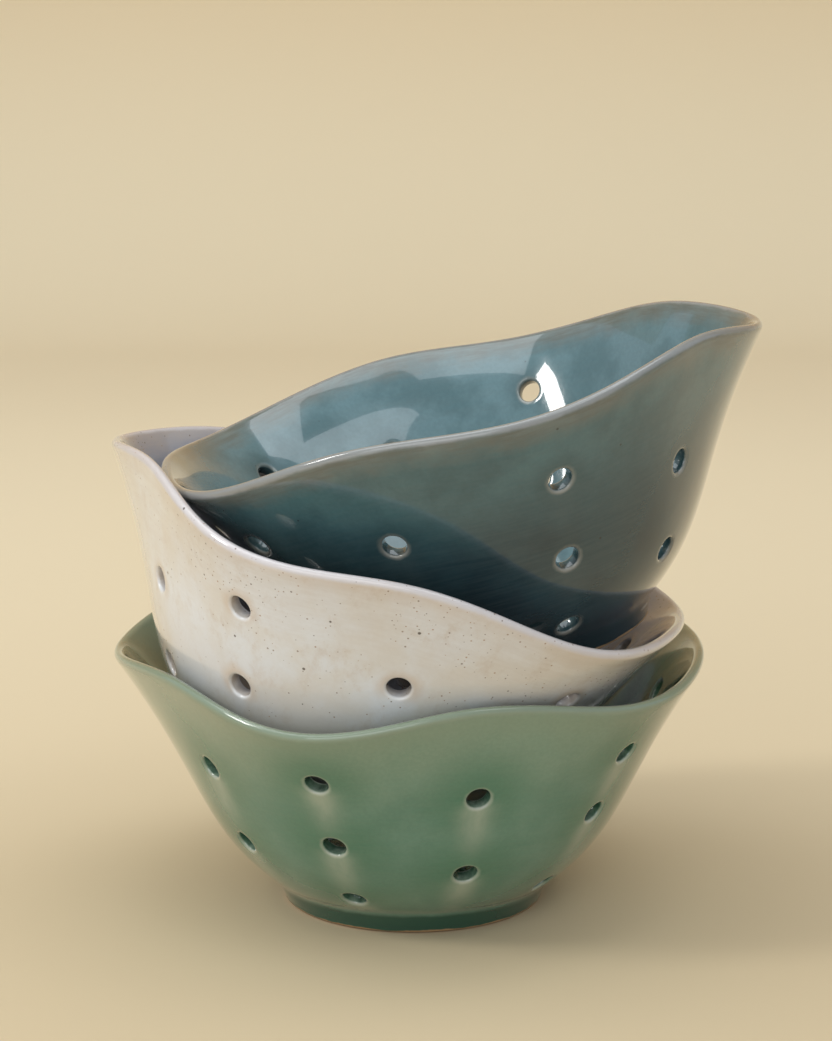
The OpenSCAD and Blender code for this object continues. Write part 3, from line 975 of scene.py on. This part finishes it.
# Painted light and shade on the plaster: the floor paler at the back, darker in front, the backdrop darker
# as it rises
SHADED_FRONT_FLOOR = (0.53, 0.42, 0.26, 1)
LIT_BACK_FLOOR = (0.86, 0.75, 0.53, 1)
SHADED_BACKDROP = (0.61, 0.40, 0.18, 1)
WHITE_CARD = (0.80, 0.80, 0.79, 1)
PLASTER_SHADE = (0.50, 0.42, 0.28, 1)
FLOOR_FRONT = -0.3
FLOOR_BACK = 0.7
BACKDROP_RISE = 0.5
CARD_START = -0.14
CARD_FULL = -0.4
CLOUD_STRENGTH = 0.12
PLASTER_ROUGHNESS = 0.9


def sweep_material():
    """Warm cream plaster, white in front of the picture, with painted light: paler back floor, darker
    backdrop
    """
    material, tree = new_material("warm_plaster")
    place = add_node(tree, "TexCoord").outputs["Object"]
    axes = add_node(tree, "SeparateXYZ", {0: place}).outputs
    # painted light and shade: the floor grows paler towards the back, and the backdrop darker as it rises
    colour = blend(tree, smooth(tree, axes["Y"], FLOOR_FRONT, FLOOR_BACK), SHADED_FRONT_FLOOR, LIT_BACK_FLOOR)
    colour = blend(tree, smooth(tree, axes["Z"], 0.0, BACKDROP_RISE), colour, SHADED_BACKDROP)
    colour = blend(tree, smooth(tree, axes["Y"], CARD_FULL, CARD_START, 1.0, 0.0), colour, WHITE_CARD)
    clouds = noise(tree, place, 2, 2)
    colour = blend(tree, maths(tree, "MULTIPLY", clouds, CLOUD_STRENGTH), colour, PLASTER_SHADE)
    shader = tree.nodes["Principled BSDF"]
    shader.inputs["Roughness"].default_value = PLASTER_ROUGHNESS
    tree.links.new(colour, shader.inputs["Base Color"])
    return material


sweep = make_sweep()
sweep.data.materials.append(sweep_material())

# %% Lamps and world
AIM = (0, 0, 0.12)
CEILING = 1.11
PANEL_COLOUR = (0.93, 0.97, 1)
WORLD_COLOUR = (0.92, 0.96, 1.02, 1)
WORLD_STRENGTH = 0.58


def soft_box(name, place, width, height, watts, colour, turn=None):
    """A soft lamp: with a turn it hangs level as a panel, and without one it faces the bowls"""
    lamp = bpy.data.lights.new(name, "AREA")
    lamp.shape = "RECTANGLE"
    lamp.size = width
    lamp.size_y = height
    lamp.energy = watts
    lamp.color = colour
    holder = bpy.data.objects.new(name, lamp)
    holder.location = place
    if turn is None:
        holder.rotation_euler = (Vector(AIM) - Vector(place)).to_track_quat("-Z", "Y").to_euler()
    else:
        holder.rotation_euler = (0, 0, math.radians(turn))
    bpy.context.collection.objects.link(holder)
    return holder


soft_box("window", (-0.977, -0.356, 0.80), 0.20, 0.36, 5, (1, 0.98, 0.95))
soft_box("front fill", (-0.4, -1.45, 0.5), 1.3, 0.8, 6, (0.95, 0.98, 1))
soft_box("left panel", (-0.32, -0.135, CEILING), 0.93, 0.77, 5, PANEL_COLOUR, 0)
soft_box("back panel", (0.42, 0.07, CEILING), 0.56, 0.52, 2.1, PANEL_COLOUR, 0)
soft_box("side panel", (0.60, -0.58, CEILING), 0.45, 0.76, 2.4, PANEL_COLOUR, -25)

world = bpy.data.worlds.new("world")
bpy.context.scene.world = world
world.use_nodes = True
world.node_tree.nodes["Background"].inputs["Color"].default_value = WORLD_COLOUR
world.node_tree.nodes["Background"].inputs["Strength"].default_value = WORLD_STRENGTH

bpy.context.scene.view_settings.view_transform = "Standard"
